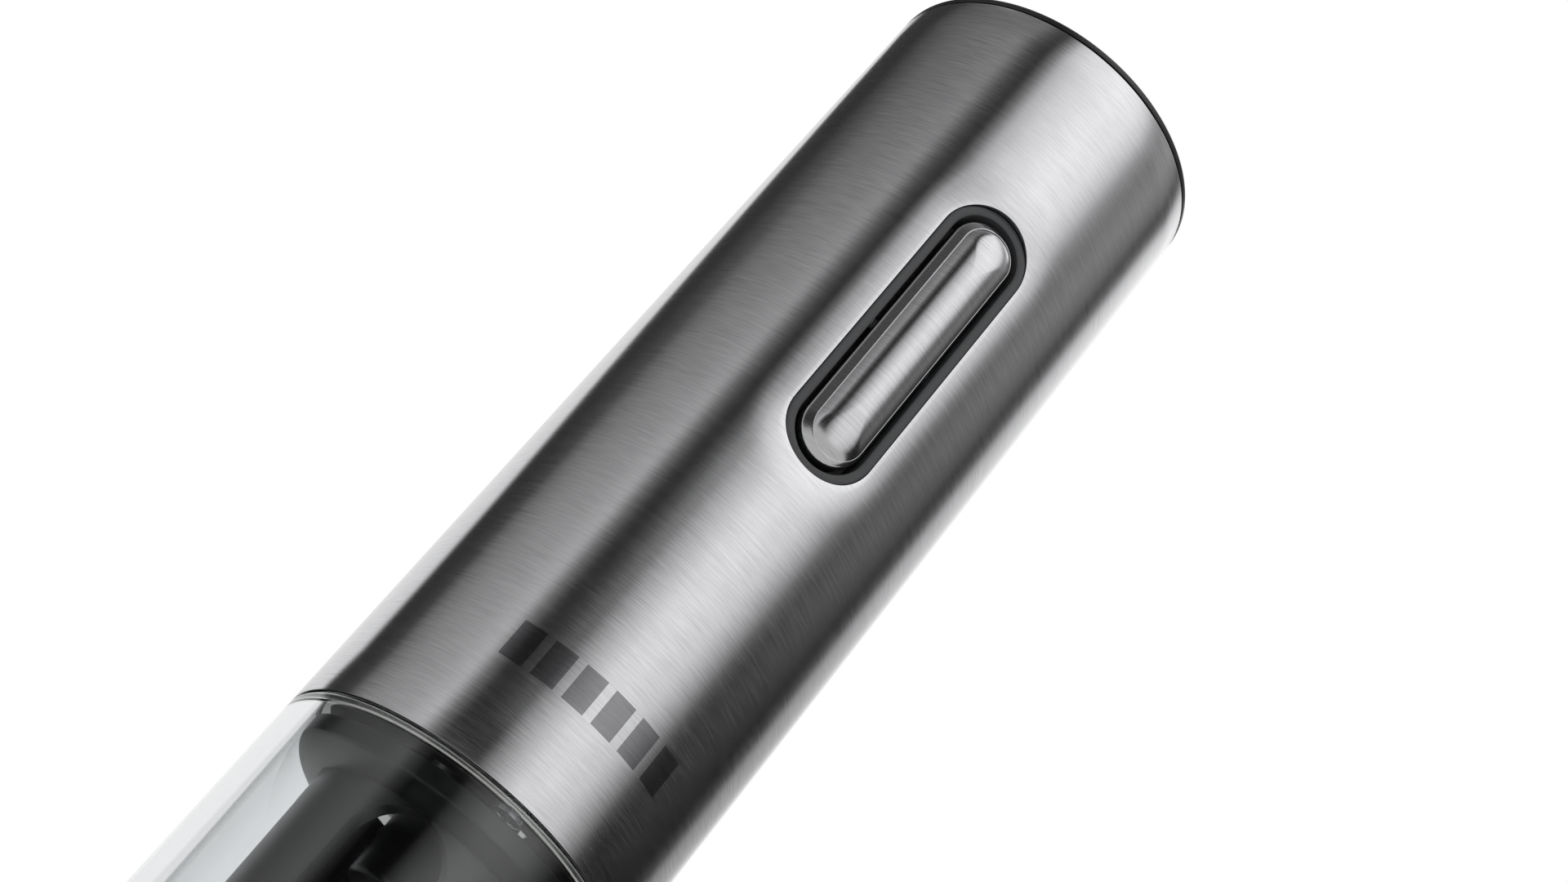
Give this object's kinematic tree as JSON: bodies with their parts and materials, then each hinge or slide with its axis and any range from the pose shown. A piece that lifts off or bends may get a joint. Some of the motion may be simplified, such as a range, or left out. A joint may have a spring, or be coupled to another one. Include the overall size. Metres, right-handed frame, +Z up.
{
  "type": "electric wine opener",
  "caption": "Upright tube-shaped electric wine opener with a steel sleeve, rocker button, clear cork chamber with an inner worm, and a removable foil cutter base.",
  "frame": {"origin": "centre of the foil cutter's lower face, on the surface it stands on", "axes": "+Z up along the tube's axis, the button faces -Y, +X to the right seen from the button"},
  "size_m": [0.0512, 0.0514, 0.2545],
  "materials": {
    "brushed_sleeve": "circumferentially brushed",
    "brushed_rocker": "brushed across, domed",
    "clear_plastic": "clear polished plastic",
    "black_plastic": "fine satin moulding",
    "bezel_plastic": "matte moulding",
    "frame_plastic": "moulded",
    "worm_steel": "polished, coated",
    "cutter_steel": "ground",
    "gear_steel": "sintered",
    "spring_steel": "drawn",
    "acetal": "moulded acetal",
    "zinc": "plated",
    "bronze": "sintered bronze",
    "copper": "wound and lacquered",
    "cell_label": "plain printed sleeve",
    "contact_metal": "nickel plated",
    "board": "solder mask",
    "switch_plastic": "moulded",
    "red_lead": "extruded insulation",
    "black_lead": "extruded insulation"
  },
  "bodies": {
    "housing": {"body_sleeve": "brushed_sleeve", "frame_front": "frame_plastic", "frame_rear": "frame_plastic", "clear_shell": "clear_plastic", "cork_guide": "black_plastic", "front_plate": "zinc", "worm_bush": "bronze", "gearbox_housing": "frame_plastic", "gearbox_screw_1": "spring_steel", "gearbox_screw_2": "spring_steel", "gearbox_screw_3": "spring_steel", "motor_can": "zinc", "motor_end_bell": "frame_plastic", "motor_lead_positive": "red_lead", "motor_lead_negative": "black_lead", "battery_cradle": "frame_plastic", "cell_1": "cell_label", "cell_2": "cell_label", "cell_3": "cell_label", "cell_4": "cell_label", "terminal_positive": "contact_metal", "terminal_negative": "contact_metal", "lower_bridge": "contact_metal", "upper_bridge_left": "contact_metal", "upper_bridge_right": "contact_metal", "contact_carrier": "acetal", "button_bezel": "bezel_plastic", "rocker_pin": "spring_steel", "switch_board": "board", "micro_switch_upper": "switch_plastic", "micro_switch_lower": "switch_plastic"},
    "foil_cutter": {"foil_ring": "black_plastic", "jaw_spring": "spring_steel"},
    "jaw_right": {"jaw_right": "black_plastic"},
    "jaw_left": {"jaw_left": "black_plastic"},
    "wheel_1": {"cutting_wheel_1": "cutter_steel"},
    "wheel_2": {"cutting_wheel_2": "cutter_steel"},
    "wheel_3": {"cutting_wheel_3": "cutter_steel"},
    "wheel_4": {"cutting_wheel_4": "cutter_steel"},
    "worm_guide": {"worm_guide": "black_plastic"},
    "worm_drive": {"worm": "worm_steel", "worm_chuck": "black_plastic", "output_carrier": "gear_steel"},
    "middle_carrier": {"middle_carrier": "gear_steel"},
    "input_carrier": {"input_carrier": "gear_steel"},
    "motor_rotor": {"motor_rotor": "copper"},
    "rocker": {"rocker_cap": "brushed_rocker", "rocker_carrier": "bezel_plastic"},
    "plunger_upper": {"plunger_upper": "acetal"},
    "plunger_lower": {"plunger_lower": "acetal"},
    "top_cap": {"top_cap": "black_plastic"},
    "output_planet_1": {"output_planet_1": "acetal"},
    "output_planet_2": {"output_planet_2": "acetal"},
    "output_planet_3": {"output_planet_3": "acetal"},
    "middle_planet_1": {"middle_planet_1": "acetal"},
    "middle_planet_2": {"middle_planet_2": "acetal"},
    "middle_planet_3": {"middle_planet_3": "acetal"},
    "input_planet_1": {"input_planet_1": "acetal"},
    "input_planet_2": {"input_planet_2": "acetal"},
    "input_planet_3": {"input_planet_3": "acetal"}
  },
  "joints": [
    {"name": "foil_cutter_pull", "type": "slide", "parent": "foil_cutter", "child": "housing", "axis": [0, 0, 1], "range_m": [0, 0.03]},
    {"name": "jaw_right_squeeze", "type": "slide", "parent": "foil_cutter", "child": "jaw_right", "axis": [-1, 0, 0], "range_m": [0, 0.002], "stiffness_N_per_m": 600},
    {"name": "jaw_left_squeeze", "type": "slide", "parent": "foil_cutter", "child": "jaw_left", "axis": [1, 0, 0], "range_m": [0, 0.002], "stiffness_N_per_m": 600},
    {"name": "wheel_1_spin", "type": "hinge", "parent": "jaw_right", "child": "wheel_1", "pos_m": [0.01701, -0.00619, 0.0104], "axis": [0, 0, 1], "continuous": true},
    {"name": "wheel_2_spin", "type": "hinge", "parent": "jaw_right", "child": "wheel_2", "pos_m": [0.01701, 0.00619, 0.0104], "axis": [0, 0, 1], "continuous": true},
    {"name": "wheel_3_spin", "type": "hinge", "parent": "jaw_left", "child": "wheel_3", "pos_m": [-0.01701, 0.00619, 0.0104], "axis": [0, 0, 1], "continuous": true},
    {"name": "wheel_4_spin", "type": "hinge", "parent": "jaw_left", "child": "wheel_4", "pos_m": [-0.01701, -0.00619, 0.0104], "axis": [0, 0, 1], "continuous": true},
    {"name": "worm_guide_rise", "type": "slide", "parent": "housing", "child": "worm_guide", "axis": [0, 0, 1], "range_m": [0, 0.048]},
    {"name": "worm_spin", "type": "hinge", "parent": "housing", "child": "worm_drive", "pos_m": [0, 0, 0.1], "axis": [0, 0, 1], "continuous": true},
    {"name": "middle_carrier_spin", "type": "hinge", "parent": "housing", "child": "middle_carrier", "pos_m": [0, 0, 0.13], "axis": [0, 0, 1], "continuous": true},
    {"name": "input_carrier_spin", "type": "hinge", "parent": "housing", "child": "input_carrier", "pos_m": [0, 0, 0.138], "axis": [0, 0, 1], "continuous": true},
    {"name": "motor_spin", "type": "hinge", "parent": "housing", "child": "motor_rotor", "pos_m": [0, 0, 0.16], "axis": [0, 0, 1], "continuous": true},
    {"name": "output_planet_1_spin", "type": "hinge", "parent": "worm_drive", "child": "output_planet_1", "pos_m": [0.00945, 0, 0.126], "axis": [0, 0, 1], "continuous": true},
    {"name": "output_planet_2_spin", "type": "hinge", "parent": "worm_drive", "child": "output_planet_2", "pos_m": [-0.00473, 0.00818, 0.126], "axis": [0, 0, 1], "continuous": true},
    {"name": "output_planet_3_spin", "type": "hinge", "parent": "worm_drive", "child": "output_planet_3", "pos_m": [-0.00473, -0.00818, 0.126], "axis": [0, 0, 1], "continuous": true},
    {"name": "middle_planet_1_spin", "type": "hinge", "parent": "middle_carrier", "child": "middle_planet_1", "pos_m": [0.00945, 0, 0.134], "axis": [0, 0, 1], "continuous": true},
    {"name": "middle_planet_2_spin", "type": "hinge", "parent": "middle_carrier", "child": "middle_planet_2", "pos_m": [-0.00473, 0.00818, 0.134], "axis": [0, 0, 1], "continuous": true},
    {"name": "middle_planet_3_spin", "type": "hinge", "parent": "middle_carrier", "child": "middle_planet_3", "pos_m": [-0.00473, -0.00818, 0.134], "axis": [0, 0, 1], "continuous": true},
    {"name": "input_planet_1_spin", "type": "hinge", "parent": "input_carrier", "child": "input_planet_1", "pos_m": [0.00945, 0, 0.142], "axis": [0, 0, 1], "continuous": true},
    {"name": "input_planet_2_spin", "type": "hinge", "parent": "input_carrier", "child": "input_planet_2", "pos_m": [-0.00473, 0.00818, 0.142], "axis": [0, 0, 1], "continuous": true},
    {"name": "input_planet_3_spin", "type": "hinge", "parent": "input_carrier", "child": "input_planet_3", "pos_m": [-0.00473, -0.00818, 0.142], "axis": [0, 0, 1], "continuous": true},
    {"name": "rocker_tilt", "type": "hinge", "parent": "housing", "child": "rocker", "pos_m": [0, -0.0202, 0.19836], "axis": [1, 0, 0], "range_deg": [-3.5, 3.5], "stiffness_Nm_per_rad": 0.4},
    {"name": "plunger_upper_press", "type": "slide", "parent": "housing", "child": "plunger_upper", "axis": [0, 1, 0], "range_m": [-0.0009, 0.0009]},
    {"name": "plunger_lower_press", "type": "slide", "parent": "housing", "child": "plunger_lower", "axis": [0, 1, 0], "range_m": [-0.0009, 0.0009]},
    {"name": "top_cap_twist", "type": "hinge", "parent": "housing", "child": "top_cap", "pos_m": [0, 0, 0.25], "axis": [0, 0, 1], "range_deg": [0, 30]}
  ],
  "couplings": [
    {"joint": "middle_carrier_spin", "follows": "worm_spin", "ratio": 4.5},
    {"joint": "input_carrier_spin", "follows": "worm_spin", "ratio": 20.25},
    {"joint": "motor_spin", "follows": "worm_spin", "ratio": 91.125},
    {"joint": "output_planet_1_spin", "follows": "worm_spin", "ratio": -2.8},
    {"joint": "output_planet_2_spin", "follows": "worm_spin", "ratio": -2.8},
    {"joint": "output_planet_3_spin", "follows": "worm_spin", "ratio": -2.8},
    {"joint": "middle_planet_1_spin", "follows": "worm_spin", "ratio": -12.6},
    {"joint": "middle_planet_2_spin", "follows": "worm_spin", "ratio": -12.6},
    {"joint": "middle_planet_3_spin", "follows": "worm_spin", "ratio": -12.6},
    {"joint": "input_planet_1_spin", "follows": "worm_spin", "ratio": -56.7},
    {"joint": "input_planet_2_spin", "follows": "worm_spin", "ratio": -56.7},
    {"joint": "input_planet_3_spin", "follows": "worm_spin", "ratio": -56.7},
    {"joint": "plunger_upper_press", "follows": "rocker_tilt", "m_per_rad": -0.013},
    {"joint": "plunger_lower_press", "follows": "rocker_tilt", "m_per_rad": 0.013}
  ]
}
